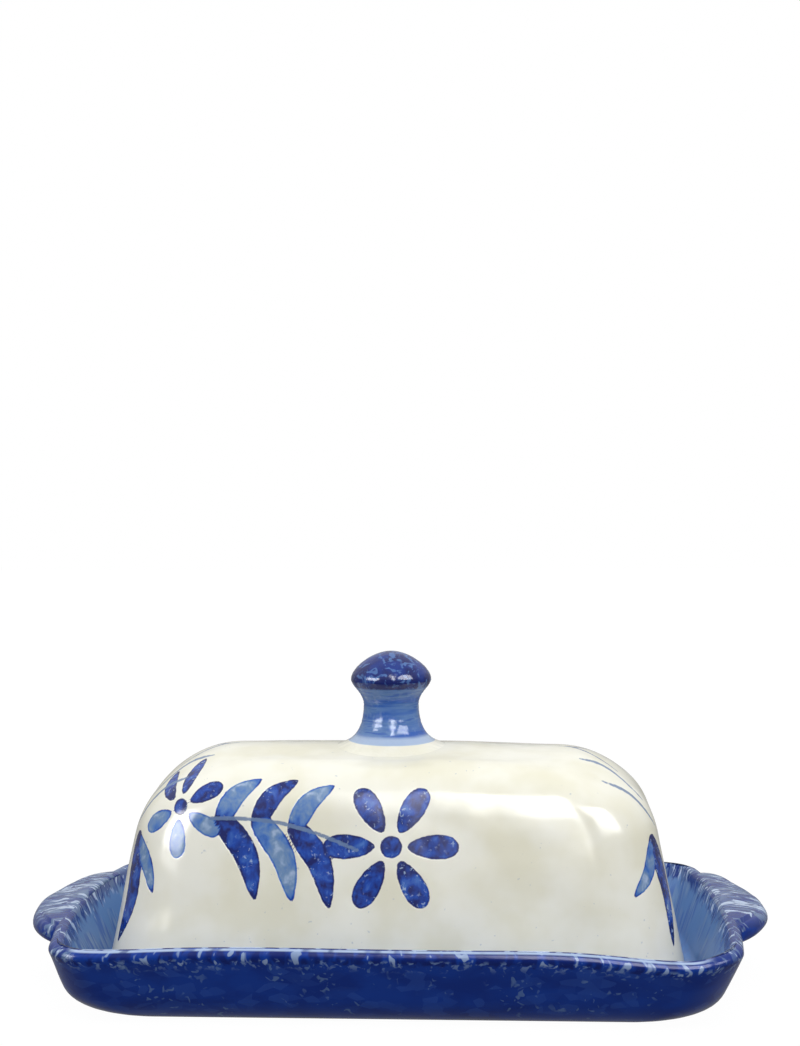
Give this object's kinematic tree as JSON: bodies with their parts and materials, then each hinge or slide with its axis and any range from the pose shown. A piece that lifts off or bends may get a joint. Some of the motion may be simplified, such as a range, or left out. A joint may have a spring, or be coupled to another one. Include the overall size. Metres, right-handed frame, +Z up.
{
  "type": "butter dish",
  "caption": "Long glazed stoneware butter dish: a shallow flared tray with a lug at each end and a loose domed cover with a knob on top.",
  "frame": {"origin": "centre of the flat underside that the dish stands on", "axes": "+X along the dish's length towards the right lug, +Y away from the painted front, +Z up through the knob"},
  "size_m": [0.2322, 0.129, 0.103],
  "materials": {
    "dish_glaze": "gloss",
    "lug_glaze": "gloss",
    "cover_glaze": "gloss",
    "knob_glaze": "gloss"
  },
  "bodies": {
    "dish": {"dish": "dish_glaze", "left_lug": "lug_glaze", "right_lug": "lug_glaze"},
    "cover": {"cover": "cover_glaze", "knob": "knob_glaze"}
  },
  "joints": [
    {"name": "cover_lift", "type": "slide", "parent": "dish", "child": "cover", "axis": [0, 0, 1], "range_m": [0, 0.11]}
  ]
}
